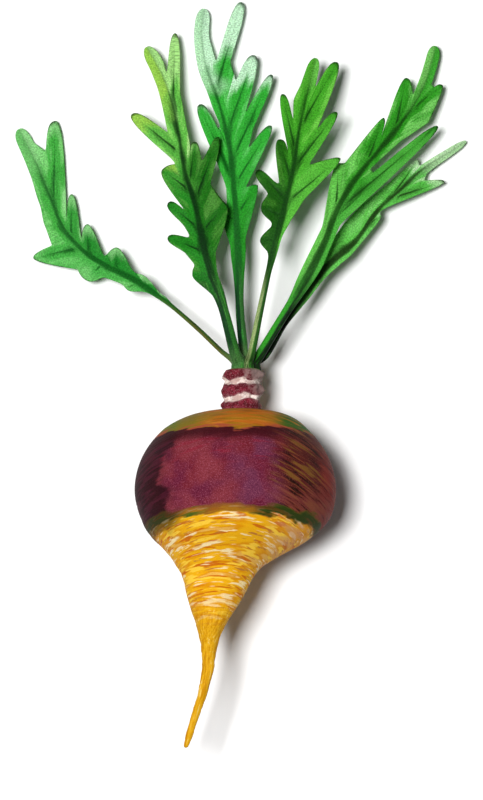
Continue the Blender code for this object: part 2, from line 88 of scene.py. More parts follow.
# foot: place on the crown, across and up from the middle of the neck. start: place along the midrib there.
# stalk: width and height. blade: stretch of midrib over which the stalk flattens into the blade.
# tip: half the width and the length of the blunt end. wave: height of the blade's waves.
# route: the midrib from just above the crown to the tip of the leaf.
# left, right: places along the midrib, each with the margin there. (along, out) is a plain margin that far
# from the midrib, (along, x, y) is a notch, and (along, x, y, width) is the tip of a finger with its width.
LEAVES = {
    "leaf_far_left": {
        "foot": (-5.6, -1.4), "start": -3.9, "stalk": (3.0, 2.8), "blade": (46, 74),
        "tip": (4.6, 9.0), "wave": 0.3,
        "route": (
            (-8.3, 83.5, 44), (-22.4, 97, 41), (-42.4, 114, 35), (-61.5, 127, 26), (-80, 136.5, 17),
            (-95, 147, 11), (-105.5, 160, 8), (-113.5, 178.5, 6), (-122.5, 200, 4.5), (-132.5, 220, 3.5),
        ),
        "left": (
            (60, 2), (70, -54.5, 120), (77, -66.5, 121.8, 6), (84, -74, 126.5), (94, -80.5, 129),
            (102, -91, 127, 7.5), (110, -96, 133.5), (119, -123.5, 141, 5), (127, -112, 148.5), (140, 9.5),
            (154, 7.5), (174, 6),
        ),
        "right": (
            (52, 2), (58, -44.5, 120, 4), (64, -49.5, 124.5), (72, -55, 129.5, 4), (80, -62, 131.5),
            (92, -72.5, 147, 5.5), (103, -80, 140.5), (112, -90.5, 161.5, 5), (119, -94, 151),
            (127, -100, 180, 5), (133, -103, 163.5), (150, -110, 225, 9.5), (168, -116, 206.5), (190, 4.5),
        ),
    },
    "leaf_left": {
        "foot": (-3.2, 4.0), "start": -2.4, "stalk": (6.8, 6.2), "blade": (30, 62),
        "tip": (4.2, 9.0), "wave": 0.8,
        "route": (
            (0.5, 80.5, 53), (-6.5, 107, 58), (-14, 129, 58), (-19.5, 150, 54), (-24.5, 173, 46),
            (-30.5, 193, 38), (-34, 213, 31), (-38, 233.5, 24), (-44.5, 252, 19), (-54, 269.5, 14),
        ),
        "left": (
            (44, 4.4), (54, -27.5, 129, 5.5), (62, -24, 135), (66, -30.5, 143), (70, -40.5, 152, 6),
            (75, -26, 151), (79, -31.5, 160), (84, -40.5, 173, 6.5), (90, -30, 168), (108, -44, 193.5, 8),
            (125, -35, 197), (132, -63, 227.5, 8.5), (139, -41, 216.5), (158, 6.5), (182, 5.5),
        ),
        "right": (
            (22, 4.2), (34, -2.5, 114.5, 4), (48, -11, 133.5), (64, -11.5, 143), (82, -5.5, 172.5, 8.5),
            (94, -15, 184.5), (101, -10, 213.5, 5), (108, -20, 197.5), (112, -24.5, 210.5, 5),
            (118, -27, 205), (138, 6), (148, -33.5, 242.5), (163, -36.5, 278, 6), (178, -41.5, 252),
            (190, 4.5),
        ),
    },
    "leaf_middle": {
        "foot": (-1.4, -4.4), "start": -2.2, "stalk": (6.0, 5.6), "blade": (34, 70),
        "tip": (4.3, 9.0), "wave": 0.6,
        "route": (
            (5, 80.5, 41), (3, 107, 38), (2, 137.5, 36), (0.5, 168, 32), (-2, 197, 26), (-5.5, 218.5, 22),
            (-11.5, 240, 17), (-18, 258.5, 13), (-20.5, 277.5, 9), (-19, 293.5, 6),
        ),
        "left": (
            (50, 3.8), (74, 4.5), (88, -8, 168.5, 4), (94, -5, 174.5), (99, -5.5, 184), (104, -11, 198),
            (112, -22, 234, 8), (124, -10.5, 219), (148, 3.2), (164, 4.6), (184, 5),
        ),
        "right": (
            (48, 3.8), (78, 5), (92, 13.5, 184.5, 4), (103, 6.5, 183), (110, 22, 221, 6), (116, 8, 206.5),
            (120, 11.5, 220.5), (125, 22.5, 252.5, 6.5), (131, 6, 228), (143, 12, 264.5, 8.5),
            (153, 0.5, 248.5), (165, -3, 261.5), (169, 4, 297.5, 9), (175, -11.5, 260), (204, 4.6),
        ),
    },
    "leaf_inner_right": {
        "foot": (3.0, 5.8), "start": -1.2, "stalk": (4.8, 4.4), "blade": (52, 76),
        "tip": (3.4, 8.0), "wave": 0.6,
        "route": (
            (9.5, 80.5, 56), (15, 107, 61), (20, 130.5, 63), (25, 151.5, 62), (31, 174, 58),
            (35.5, 195.5, 53), (38.5, 215.5, 47), (41.5, 230.5, 41), (45.5, 246.5, 34), (49, 261.5, 29),
        ),
        "left": (
            (68, 2.6), (77, 15, 149, 5), (87, 23.5, 159.5), (92, 15.5, 169, 6), (98, 20, 178),
            (102, 13, 192, 6.5), (106, 27, 181.5), (114, 26.5, 211, 7), (122, 32, 203.5),
            (131, 28.5, 239, 6), (139, 35, 223.5), (162, 7), (176, 5),
        ),
        "right": (
            (64, 2.8), (76, 28, 151.5), (84, 33.5, 161.5), (91, 42, 175), (100, 63.5, 199.5, 4),
            (112, 44.5, 195.5), (121, 61.5, 228, 6), (130, 49.5, 217), (146, 62, 259, 8), (162, 48.5, 243),
            (184, 3.5),
        ),
    },
    "leaf_right": {
        "foot": (6.3, 0.6), "start": -1.6, "stalk": (6.2, 5.6), "blade": (30, 66),
        "tip": (4.0, 8.0), "wave": 0.7,
        "route": (
            (14.5, 80.5, 49), (27, 101, 54), (41.5, 124.5, 55), (53.5, 147.5, 52), (61, 167.5, 46),
            (72, 187, 39), (86.5, 204.5, 31), (101.5, 223, 23), (114, 243, 15), (120.5, 262, 10),
            (122.5, 270.5, 8),
        ),
        "left": (
            (40, 3.6), (60, 5.2), (84, 52.8, 159), (106, 62.5, 197.5, 6.5), (120, 67, 198),
            (140, 90.5, 225.5, 3.5), (152, 88.5, 213), (168, 104.5, 250.5, 6), (184, 108.5, 240), (200, 4),
        ),
        "right": (
            (46, 3.8), (74, 5), (95, 63.5, 160), (106, 123.5, 220.5, 7), (116, 84, 192), (140, 3.5),
            (146, 4), (154, 101, 211.5), (166, 118, 223), (184, 126.5, 246.5, 4), (190, 121.5, 245),
            (204, 4),
        ),
    },
    "leaf_far_right": {
        "foot": (5.2, -5.8), "start": -0.5, "stalk": (5.4, 5.0), "blade": (28, 60),
        "tip": (2.0, 10.0), "wave": 0.5,
        "route": (
            (17.5, 80.5, 42), (29, 99.5, 42), (43.5, 119.5, 39), (52.5, 131.5, 35), (62.5, 141.5, 32),
            (73.5, 151, 27), (86.5, 169, 21), (100.5, 182, 16), (114, 194.5, 11), (128.5, 204, 7),
            (141.5, 212.5, 4.5),
        ),
        "left": (
            (40, 3.4), (56, 5), (72, 57, 148.5), (88, 66, 161), (104, 79.5, 175.5), (118, 94, 186.5),
            (136, 112, 201, 3), (150, 112, 198), (164, 2.6), (178, 2.6),
        ),
        "right": (
            (44, 3.4), (60, 3.6), (94, 5), (114, 89, 166.5, 3.5), (127, 90, 170.5), (136, 128, 187.5, 3.5),
            (147, 115.5, 188), (164, 3.5), (176, 2.8),
        ),
    },
}

# rib: ribs and dark flesh. low: the lower blade, left and right of the midrib. body: the upper blade.
# light: its pale flesh between the veins. ends: the finger ends, left and right of the midrib.
# stalk: its left and right halves. foot: its lowest part.
# low_to, ends_from: shares of the leaf's length where the green of the lower blade ends, and where the last
# finger turns pale. tip_run: millimetres of a side finger that are pale at the leaf's foot, and how many
# more at its tip.
LEAF_GREENS = {
    "leaf_far_left": {
        "rib": "#0B5214", "low": ("#43A043", "#207C26"), "body": "#3A9A38", "light": "#6EBE66",
        "ends": ("#68B462", "#84C47C"), "stalk": ("#55521F", "#2C3A14"), "foot": "#4C6A36",
        "low_to": 0.60, "ends_from": 0.86, "tip_run": (6, 6),
    },
    "leaf_left": {
        "rib": "#062A0A", "low": ("#1F781C", "#1C6414"), "body": "#5AAC42", "light": "#86C860",
        "ends": ("#8EBE48", "#9ACC7A"), "stalk": ("#163C1C", "#246020"), "foot": "#44703A",
        "low_to": 0.57, "ends_from": 0.84, "tip_run": (-64, 123),
    },
    "leaf_middle": {
        "rib": "#0A5214", "low": ("#1F801C", "#1F801C"), "body": "#2E9E30", "light": "#54B656",
        "ends": ("#B2DCB4", "#BCE2C0"), "stalk": ("#0A2E16", "#2A5A26"), "foot": "#5A7A48",
        "low_to": 0.42, "ends_from": 0.80, "tip_run": (-62, 130),
    },
    "leaf_inner_right": {
        "rib": "#0C3A08", "low": ("#174E0C", "#4FA634"), "body": "#3F9A24", "light": "#66BA42",
        "ends": ("#4C9E2C", "#66B848"), "stalk": ("#93A86C", "#24501A"), "foot": "#1C3416",
        "low_to": 0.62, "ends_from": 0.90, "tip_run": (-99, 0),
    },
    "leaf_right": {
        "rib": "#123E0C", "low": ("#5EB248", "#46A038"), "body": "#2C8C1E", "light": "#6CBC58",
        "ends": ("#72BC5C", "#3A9A2C"), "stalk": ("#2F8E24", "#0E1E10"), "foot": "#14260F",
        "low_to": 0.52, "ends_from": 0.84, "tip_run": (-99, 0),
    },
    "leaf_far_right": {
        "rib": "#1A3410", "low": ("#58B446", "#5EB64E"), "body": "#4EAA40", "light": "#98D088",
        "ends": ("#BADEAE", "#A8D29C"), "stalk": ("#0F2410", "#0A140A"), "foot": "#101A0E",
        "low_to": 0.64, "ends_from": 0.84, "tip_run": (-18, 40),
    },
}

# Camera, lights and floor. A soft box is square: distance and side in metres, power in watts.
CAMERA_DISTANCE = 2667.0
CAMERA_LENS = 200.0
FILM_WIDTH = 36.0
AIM = Vector((3.9, 54.0, 60.0))
KEY_RISE = math.radians(79.0)
KEY_TURN = math.radians(160.0)
KEY_BOX = (3.2, 0.64, 124.0)
SIDE_DIRECTION = (1.0, -0.15, 0.22)
SIDE_BOX = (2.4, 1.2, 3.5)
BOX_AIM = Vector((0.0, 0.05, 0.03))
SURROUND_LIGHT = 0.07
FLOOR_HALF = 3.0
BOARD_WHITE = "#F6F6F6"


def smoothstep(low, high, value):
    """A soft step from 0 at low to 1 at high."""
    t = min(max((value - low) / (high - low), 0.0), 1.0)
    return t * t * (3.0 - 2.0 * t)


def waver(x, y, z):
    """Smooth noise from -1 to 1 at a place."""
    return noise.noise(Vector((x, y, z)))


def smooth_line(points, per_span):
    """Centripetal Catmull-Rom curve through the points."""
    knots = [Vector(point) for point in points]
    ends = [2.0 * knots[0] - knots[1], *knots, 2.0 * knots[-1] - knots[-2]]
    line = []
    for p0, p1, p2, p3 in zip(ends, ends[1:], ends[2:], ends[3:]):
        t1 = (p1 - p0).length ** 0.5
        t2 = t1 + (p2 - p1).length ** 0.5
        t3 = t2 + (p3 - p2).length ** 0.5
        for step in range(per_span):
            t = t1 + (t2 - t1) * step / per_span
            a1 = p0.lerp(p1, t / t1)
            a2 = p1.lerp(p2, (t - t1) / (t2 - t1))
            a3 = p2.lerp(p3, (t - t2) / (t3 - t2))
            b1 = a1.lerp(a2, t / t2)
            b2 = a2.lerp(a3, (t - t1) / (t3 - t1))
            line.append(b1.lerp(b2, (t - t1) / (t2 - t1)))
    line.append(knots[-1])
    return line


def even_line(points, spacing):
    """The same curve with its points an even distance apart."""
    line = smooth_line(points, 16)
    run = np.concatenate([[0.0], np.cumsum([(b - a).length for a, b in zip(line, line[1:])])])
    stops = np.linspace(0.0, run[-1], max(int(run[-1] / spacing), 2) + 1)
    coords = np.array(line)
    return [Vector([float(np.interp(stop, run, coords[:, axis])) for axis in range(3)]) for stop in stops]


def read_table(table, place):
    """Value of a table of (place, value) rows at a place, its rows in either order."""
    rows = sorted(table)
    return float(np.interp(place, [row[0] for row in rows], [row[1] for row in rows]))


def root_frame(along, across, up):
    """Place in the part of a place measured in the root's own tilted frame."""
    cos_tilt, sin_tilt = math.cos(ROOT_TILT), math.sin(ROOT_TILT)
    return Vector((across, along * cos_tilt + up * sin_tilt, ROOT_LIFT - along * sin_tilt + up * cos_tilt))


def finish_piece(name, mesh_data, skin):
    """Turn a finished bmesh into a smooth piece that stands for the CAD node of the same name."""
    mesh = bpy.data.meshes.new(name + "_skin")
    mesh_data.to_mesh(mesh)
    mesh_data.free()
    mesh.materials.append(skin)
    mesh.shade_smooth()
    piece = bpy.data.objects.new(name + "_skin", mesh)
    bpy.context.collection.objects.link(piece)
    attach(piece, "root")
    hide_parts(name)
    return piece


def add_attribute(mesh, name, kind, values):
    """Store one value per point for a material to read."""
    layer = mesh.attributes.new(name, kind, "POINT")
    layer.data.foreach_set("vector" if kind == "FLOAT_VECTOR" else "value", np.asarray(values, "f").ravel())


def linear(code):
    """Linear colour of an sRGB hex code."""
    parts = [int(code[start:start + 2], 16) / 255.0 for start in (1, 3, 5)]
    return (*(c / 12.92 if c <= 0.04045 else ((c + 0.055) / 1.055) ** 2.4 for c in parts), 1.0)


def add_node(tree, kind, inputs=None, **settings):
    """Add one node, with its settings, values and links."""
    node = tree.nodes.new(kind)
    for key, value in settings.items():
        setattr(node, key, value)
    for key, value in (inputs or {}).items():
        if isinstance(value, bpy.types.NodeSocket):
            tree.links.new(value, node.inputs[key])
        else:
            node.inputs[key].default_value = value
    return node


def total(tree, start, *terms):
    """A start plus each value times its weight: (value, weight)."""
    for value, weight in terms:
        inputs = {0: value, 1: weight, 2: start}
        start = add_node(tree, "ShaderNodeMath", inputs, operation="MULTIPLY_ADD").outputs[0]
    return start


def past(tree, share, *ranges):
    """A share that fades in softly as each value goes past its range: (value, from, to)."""
    for value, low, high in ranges:
        inputs = {"Value": value, "From Min": low, "From Max": high}
        step = add_node(tree, "ShaderNodeMapRange", inputs, interpolation_type="SMOOTHSTEP")
        share = total(tree, 0.0, (step.outputs["Result"], share))
    return share


def lay(tree, under, colour, share, *ranges):
    """Lay a share of a colour over another, where each value is past its range: (value, from, to)."""
    under, colour = (linear(tint) if isinstance(tint, str) else tint for tint in (under, colour))
    inputs = {0: past(tree, share, *ranges), 6: under, 7: colour}
    return add_node(tree, "ShaderNodeMix", inputs, data_type="RGBA").outputs[2]


def strokes(tree, vector, scales, offset=(0.0, 0.0, 0.0), detail=2.0, rough=0.5):
    """Noise from 0 to 1 drawn out into strokes, or into round specks where its three scales are the same.

    Scales are in cycles per millimetre along each axis.
    """
    drawn = add_node(tree, "ShaderNodeMapping", {"Vector": vector, "Scale": scales, "Location": offset})
    inputs = {"Vector": drawn.outputs["Vector"], "Scale": 1.0, "Detail": detail, "Roughness": rough}
    return add_node(tree, "ShaderNodeTexNoise", inputs).outputs["Fac"]


def new_material(name):
    """An empty material with a Principled surface."""
    material = bpy.data.materials.new(name)
    material.use_nodes = True
    tree = material.node_tree
    return material, tree, tree.nodes["Principled BSDF"]


def dress(tree, surface, colour, shade, roughness, height, bump, evenly):
    """Give a surface its shaded colour, roughness, relief (bump: strength, depth) and even settings."""
    tint = add_node(tree, "ShaderNodeCombineColor", {0: shade, 1: shade, 2: shade}).outputs[0]
    inputs = {0: 1.0, 6: colour, 7: tint}
    shaded = add_node(tree, "ShaderNodeMix", inputs, data_type="RGBA", blend_type="MULTIPLY").outputs[2]
    relief = add_node(tree, "ShaderNodeBump", {"Strength": bump[0], "Distance": bump[1], "Height": height})
    tree.links.new(shaded, surface.inputs["Base Color"])
    tree.links.new(roughness, surface.inputs["Roughness"])
    tree.links.new(relief.outputs["Normal"], surface.inputs["Normal"])
    for name, value in evenly.items():
        surface.inputs[name].default_value = value


def rutabaga_skin():
    """Living rutabaga skin, washed: thin dry cork over flesh, so it is nearly matt and finely mottled."""
    material, tree, surface = new_material("rutabaga_skin_grown_and_washed")
    place = add_node(tree, "ShaderNodeAttribute", attribute_name="grown").outputs["Vector"]
    crease = add_node(tree, "ShaderNodeAttribute", attribute_name="crease").outputs["Fac"]
    across, along, up = add_node(tree, "ShaderNodeSeparateXYZ", {0: place}).outputs

    # Strokes lie round the root in arcs that fall away to both sides, each about ten times as long as wide.
    squared = total(tree, 0.0, (across, across))
    lateral = total(tree, along, (up, -0.12), (squared, 0.003))
    arcs = add_node(tree, "ShaderNodeCombineXYZ", {0: across, 1: lateral, 2: up}).outputs[0]
    broad_strokes = strokes(tree, arcs, (0.04, 0.28, 0.04), (4.0, 1.0, 2.0), 1.5)
    round_strokes = strokes(tree, arcs, (0.05, 0.42, 0.05))
    other_strokes = strokes(tree, arcs, (0.055, 0.48, 0.055), (7.0, 5.0, 1.0))
    fine_strokes = strokes(tree, arcs, (0.10, 0.95, 0.10), (9.0, 3.0, 5.0), rough=0.55)
    patches = strokes(tree, place, (0.07, 0.07, 0.07), (5.0, 2.0, 8.0))
    clouds = strokes(tree, place, (0.05, 0.05, 0.05), detail=3.0, rough=0.6)
    grain = strokes(tree, place, (1.5, 1.5, 1.5), rough=0.65)

    # Bounds between the colours wander by a few millimetres.
    drift = total(tree, -6.5, (round_strokes, 5.0), (clouds, 8.0))
    shifted = total(tree, along, (drift, 1.0))
    aside = total(tree, across, (drift, 1.0))

    # Purple band: plum with rose and violet clouds and pale pigment grains.
    wine = lay(tree, "#6C1F2A", "#601B32", 1.0, (clouds, 0.38, 0.62))
    wine = lay(tree, wine, "#82343C", 0.7, (patches, 0.34, 0.66), (across, 8.0, -14.0))
    wine = lay(tree, wine, "#643450", 0.5, (patches, 0.62, 0.38), (across, -10.0, 8.0))
    wine = lay(tree, wine, "#861C30", 0.5, (other_strokes, 0.56, 0.64), (shifted, 4.0, 16.0))
    wine = lay(tree, wine, "#9A5568", 0.5, (grain, 0.50, 0.72))
    wine = lay(tree, wine, "#3A0C1C", 0.55, (grain, 0.46, 0.28))

    # Near black towards the left side, further in below the middle, as painted shade on that side; and near
    # black just under the shoulder.
    below = past(tree, 1.0, (along, -2.0, -8.0))
    to_side = total(tree, -6.0, (across, 1.0), (along, -0.22), (drift, 1.3), (below, -9.0), (patches, 12.0))
    # Painted shade: the near-black plum of the root's left side, with darker strokes.
    painted_shade_wine = lay(tree, "#1A080D", "#3A1220", 1.0, (other_strokes, 0.42, 0.60))
    wine = lay(tree, wine, "#3A121A", 0.40, (to_side, -38.0, -46.0))
    wine = lay(tree, wine, painted_shade_wine, 0.85, (to_side, -42.5, -46.5))
    wine = lay(tree, wine, "#32090F", 0.85, (shifted, 20.0, 27.0), (to_side, 34.0, 16.0))

    # Right side: brown maroon under slanting strokes of olive gold, dark brown and brick red.
    slant = total(tree, lateral, (across, 0.24))
    slanting = add_node(tree, "ShaderNodeCombineXYZ", {0: across, 1: slant, 2: up}).outputs[0]
    slanted = strokes(tree, slanting, (0.035, 0.34, 0.035), (3.0, 6.0, 1.0), 2.5, 0.55)
    thin_slanted = strokes(tree, slanting, (0.06, 0.8, 0.06), (1.0, 2.0, 9.0), rough=0.55)
    tanned = lay(tree, "#4E1C1A", "#240E0C", 1.0, (slanted, 0.48, 0.40))
    tanned = lay(tree, tanned, "#745020", 0.8, (slanted, 0.54, 0.62))
    tanned = lay(tree, tanned, "#80402A", 0.7, (thin_slanted, 0.57, 0.64))
    tanned = lay(tree, tanned, "#8A5A44", 0.3, (grain, 0.52, 0.7))
    tanned = lay(tree, tanned, "#80241C", 0.75, (across, 47.0, 56.0), (thin_slanted, 0.36, 0.52))
    tanned = lay(tree, tanned, "#783832", 0.65, (shifted, 0.0, -10.0), (slanted, 0.44, 0.56))
    to_right = total(tree, across, (drift, 1.5))
    wine = lay(tree, wine, tanned, 1.0, (to_right, 16.0, 34.0))

    # Lower half: golden skin under curved strokes of yellow, orange, tan and cream.
    gold = lay(tree, "#D48A0A", "#E3A714", 1.0, (broad_strokes, 0.42, 0.56))
    gold = lay(tree, gold, "#E6BC62", 0.6, (broad_strokes, 0.44, 0.34))
    gold = lay(tree, gold, "#C4690F", 1.0, (other_strokes, 0.56, 0.62))
    gold = lay(tree, gold, "#EFC23C", 1.0, (round_strokes, 0.56, 0.62))
    gold = lay(tree, gold, "#B8762E", 1.0, (fine_strokes, 0.60, 0.66))
    gold = lay(tree, gold, "#F2E0AE", 0.85, (round_strokes, 0.45, 0.38), (fine_strokes, 0.44, 0.52))
    gold = lay(tree, gold, "#C98A5E", 0.65, (across, 18.0, 36.0), (broad_strokes, 0.44, 0.56))

    # Tap root: ochre, with streaks 1.2 mm by 14 mm that run down it.
    down_strokes = strokes(tree, place, (0.8, 0.07, 0.8), detail=3.0, rough=0.6)
    tail = lay(tree, "#BE820A", "#D8A21A", 1.0, (down_strokes, 0.38, 0.58))
    tail = lay(tree, tail, "#E6C468", 1.0, (down_strokes, 0.60, 0.70))
    to_tail = total(tree, along, (drift, 1.6))
    lower = lay(tree, gold, tail, 1.0, (to_tail, -58.0, -88.0))

    # Seam between purple and gold: brown ochre with short strokes of green, dark green towards the right,
    # and near black towards the left as painted shade.
    over_seam = total(tree, 26.0, (shifted, 1.0), (up, -0.13))
    seam = ((over_seam, -3.4, -1.8), (over_seam, 3.0, 0.6))
    left_part = past(tree, 1.0, (across, -12.0, -26.0))
    off_middle = total(tree, left_part, (past(tree, 1.0, (across, 2.0, 12.0)), 1.0))
    skin = lay(tree, lower, wine, 1.0, (over_seam, -0.8, 0.8))
    skin = lay(tree, skin, "#80501A", 0.85, *seam)
    skin = lay(tree, skin, "#46581A", off_middle, (other_strokes, 0.45, 0.51), *seam)
    skin = lay(tree, skin, "#1F2A0E", 0.75, (aside, 6.0, 20.0), *seam)
    # Painted shade: the seam darkens towards the left side, like the purple above it.
    shaded = ((aside, -26.0, -38.0), (over_seam, -8.0, -4.0), (over_seam, 4.0, 1.0))
    skin = lay(tree, skin, "#2A2410", 0.8, *shaded)

    # Shoulder: ochre and orange, olive to the left and dark green to the right. Its rosy lower edge dips in
    # the middle.
    crown = lay(tree, "#9C6C16", "#B8641A", 1.0, (broad_strokes, 0.44, 0.58))
    crown = lay(tree, crown, "#C47C2C", 0.5, (fine_strokes, 0.54, 0.62))
    crown = lay(tree, crown, "#7C5414", 0.6, (round_strokes, 0.44, 0.36))
    crown = lay(tree, crown, "#7A6A1A", 0.9, (aside, -12.0, -28.0))
    crown = lay(tree, crown, "#566E16", 0.9, (aside, -30.0, -38.0), (round_strokes, 0.36, 0.50))
    crown = lay(tree, crown, "#335E12", 1.0, (aside, 18.0, 30.0), (other_strokes, 0.38, 0.46))
    dip = past(tree, 1.8, (across, -7.0, 0.0), (across, 11.0, 4.0))
    to_crown = total(tree, shifted, (dip, 1.0))
    rosy_edge = ((to_crown, 29.0, 30.5), (to_crown, 34.5, 32.0), (round_strokes, 0.46, 0.56))
    skin = lay(tree, skin, crown, 1.0, (to_crown, 30.0, 31.2))
    skin = lay(tree, skin, "#9E4632", 0.85, *rosy_edge)

    # Neck: old leaf scars, maroon on the swellings and pale in the creases, greyer on the right.
    scar = strokes(tree, place, (0.33, 0.33, 0.33), detail=3.0, rough=0.6)
    maroon = lay(tree, "#55101A", "#7C2232", 1.0, (scar, 0.40, 0.60))
    maroon = lay(tree, maroon, "#93646A", 0.6, (grain, 0.50, 0.66))
    maroon = lay(tree, maroon, "#3A1418", 0.6, (grain, 0.46, 0.32))
    pale = lay(tree, "#EBDDD4", "#BFA29A", 1.0, (scar, 0.40, 0.58))
    creased = total(tree, -0.45, (crease, 1.0), (scar, 0.9))
    neck = lay(tree, maroon, "#84585C", 0.8, (creased, 0.10, 0.40))
    neck = lay(tree, neck, pale, 1.0, (creased, 0.40, 0.62))
    to_grey = total(tree, across, (along, 0.5), (scar, 24.0))
    neck = lay(tree, neck, "#8A7C76", 0.75, (to_grey, 44.0, 56.0))
    neck = lay(tree, neck, "#6A7A4A", 1.0, (along, 71.6, 73.0))
    collar = total(tree, along, (scar, 1.2))
    skin = lay(tree, skin, neck, 1.0, (collar, 46.6, 47.4))

    # Relief: fine scars 1 mm by 10 mm lying round the root, and pores 0.7 mm apart.
    shade = total(tree, 0.80, (grain, 0.40))
    roughness = total(tree, 0.46, (round_strokes, 0.20))
    height = total(tree, 0.0, (grain, 0.35), (fine_strokes, 0.6))
    dress(tree, surface, skin, shade, roughness, height, (0.5, 0.0007), {
        "IOR": 1.45, "Specular IOR Level": 0.03,
        "Subsurface Weight": 0.04, "Subsurface Radius": (0.004, 0.002, 0.001),
    })
    return material


def leaf_skin(name, greens):
    """Living leaf: a thin waxy cuticle over soft tissue, so it is faintly glossy and lets some light in."""
    material, tree, surface = new_material(name + "_waxy_living_leaf")
    marks = [
        add_node(tree, "ShaderNodeAttribute", attribute_name=label).outputs
        for label in ("grown", "flow", "reach", "vein", "deep", "tip", "narrow")
    ]
    place, flow = (mark["Vector"] for mark in marks[:2])
    reach, vein, deep, tip, narrow = (mark["Fac"] for mark in marks[2:])
    sideways = add_node(tree, "ShaderNodeSeparateXYZ", {0: flow}).outputs[1]
    clouds = strokes(tree, place, (0.06, 0.06, 0.06))
    grain = strokes(tree, place, (1.2, 1.2, 1.2), detail=3.0, rough=0.7)

    # Strokes run out along the side veins, but lengthwise where the blade is narrow and near the midrib.
    # Broad ones are 4 mm by 16 mm, and fine ones 1.2 mm by 10 mm.
    from_rib = add_node(tree, "ShaderNodeMath", {0: sideways}, operation="ABSOLUTE").outputs[0]
    near_rib = past(tree, 1.0, (from_rib, 7.0, 2.5))
    lengthwise = add_node(tree, "ShaderNodeMath", {0: narrow, 1: near_rib}, operation="MAXIMUM").outputs[0]
    broad, fine = (
        add_node(tree, "ShaderNodeMix", {
            0: lengthwise, 2: strokes(tree, flow, *drawn), 3: strokes(tree, place, *drawn),
        }, data_type="FLOAT").outputs[0]
        for drawn in (((0.24, 0.06, 1.0),), ((0.85, 0.10, 1.0), (3.0, 7.0, 0.0)))
    )

    # Tone: 0 is the pale flesh between the veins, 1 the dark flesh along them, with strokes and clouds.
    tone = total(tree, -1.3, (deep, 1.0), (fine, 0.5), (broad, 1.3), (clouds, 0.8))

    # The lower blade is darkest, and the greens grow paler towards the finger ends.
    placed = total(tree, -0.12, (reach, 1.0), (clouds, 0.24))
    left = past(tree, 1.0, (sideways, -1.0, 1.0))
    low, ends_green = (lay(tree, *greens[key][::-1], left) for key in ("low", "ends"))
    upper = past(tree, 1.0, (placed, greens["low_to"] - 0.10, greens["low_to"] + 0.10))
    body = lay(tree, low, greens["body"], upper)
    light = lay(tree, low, greens["light"], total(tree, 0.2, (upper, 0.8)))
    green = lay(tree, light, body, 1.0, (tone, -0.15, 0.35))
    run, slope = greens["tip_run"]
    near_tip = total(tree, run, (reach, slope), (tip, -1.0), (tone, -9.0))
    tips = past(tree, 1.0, (near_tip, -6.0, 6.0))
    ends = past(tree, 1.0, (placed, greens["ends_from"] - 0.08, greens["ends_from"] + 0.08))
    ends = add_node(tree, "ShaderNodeMath", {0: ends, 1: tips}, operation="MAXIMUM").outputs[0]
    green = lay(tree, green, ends_green, total(tree, 0.0, (ends, 0.9)))

    # Dark flesh, ribs and veins thin out towards the ends.
    flesh = total(tree, 0.85, (ends, -0.6))
    green = lay(tree, green, greens["rib"], flesh, (tone, 0.50, 1.20))
    rib = past(tree, 1.0, (total(tree, from_rib, (reach, 3.2)), 3.9, 2.3))
    side_vein = past(tree, 1.0, (vein, 0.35, 0.75))
    lines = add_node(tree, "ShaderNodeMath", {0: rib, 1: side_vein}, operation="MAXIMUM").outputs[0]
    remaining = total(tree, 0.85, (ends, -0.42))
    green = lay(tree, green, greens["rib"], total(tree, 0.0, (lines, remaining)))

    # Stalk: one green on its left, another on its right, with streaks 1 mm by 12 mm.
    streaks = strokes(tree, place, (0.9, 0.08, 0.9), detail=3.0, rough=0.6)
    spread = add_node(tree, "ShaderNodeSeparateXYZ", {0: place}).outputs[0]
    to_right = total(tree, spread, (streaks, 3.0))
    stem = lay(tree, *greens["stalk"], 1.0, (to_right, 0.8, 2.2))
    stem = lay(tree, stem, greens["body"], 0.5, (streaks, 0.54, 0.70))
    stem = lay(tree, stem, greens["rib"], 0.5, (streaks, 0.46, 0.32))
    foot = lay(tree, greens["foot"], stem, 0.7, (streaks, 0.46, 0.60))
    stem = lay(tree, stem, foot, 1.0, (reach, 0.075, 0.01))
    up_stalk = total(tree, reach, (broad, 0.16))
    green = lay(tree, green, stem, 1.0, (up_stalk, 0.40, 0.24))

    # Relief: the net of small veins, 2.6 mm apart, under grain 0.8 mm apart.
    net = {"Vector": place, "Scale": 0.38}
    net = add_node(tree, "ShaderNodeTexVoronoi", net, feature="DISTANCE_TO_EDGE").outputs["Distance"]
    cells = past(tree, 1.0, (net, 0.0, 0.12))
    specks = past(tree, 1.0, (grain, 0.38, 0.62))
    shade = total(tree, 0.68, (specks, 0.62))
    roughness = total(tree, 0.42, (fine, 0.2))
    height = total(tree, 0.0, (grain, 0.4), (cells, 0.5))
    dress(tree, surface, green, shade, roughness, height, (0.35, 0.0005), {
        "IOR": 1.42, "Specular IOR Level": 0.06,
        "Subsurface Weight": 0.06, "Subsurface Radius": (0.001, 0.003, 0.0006),
    })
    return material


def ring_wave(along, angle):
    """How far, in millimetres, the scar rings wander along the neck on their way round it."""
    on_rings = smoothstep(47.0, 53.0, along) * smoothstep(72.8, 69.5, along)
    wide, short = math.sin(2.0 * angle + 1.3 + 0.1 * along), math.sin(5.0 * angle - 0.2 * along)
    return on_rings * (0.9 * wide + 0.4 * short)


def root_relief(along, angle):
    """Share by which the skin of the root stands out or in: broad lumps, and knobbly scar rings."""
    broad = 0.010 * math.sin(2.0 * angle + 0.9) + 0.007 * math.sin(3.0 * angle - along / 19.0)
    on_neck = smoothstep(46.0, 51.0, along)
    ring_lumps = 0.050 * math.sin(5.0 * angle + along * 0.55) + 0.035 * math.sin(9.0 * angle - along * 0.3)
    on_tail = smoothstep(-50.0, -75.0, along)
    tail_lumps = 0.05 * math.sin(2.0 * angle + along / 6.0)
    return 1.0 + broad * (1.0 - on_neck) + ring_lumps * on_neck + tail_lumps * on_tail


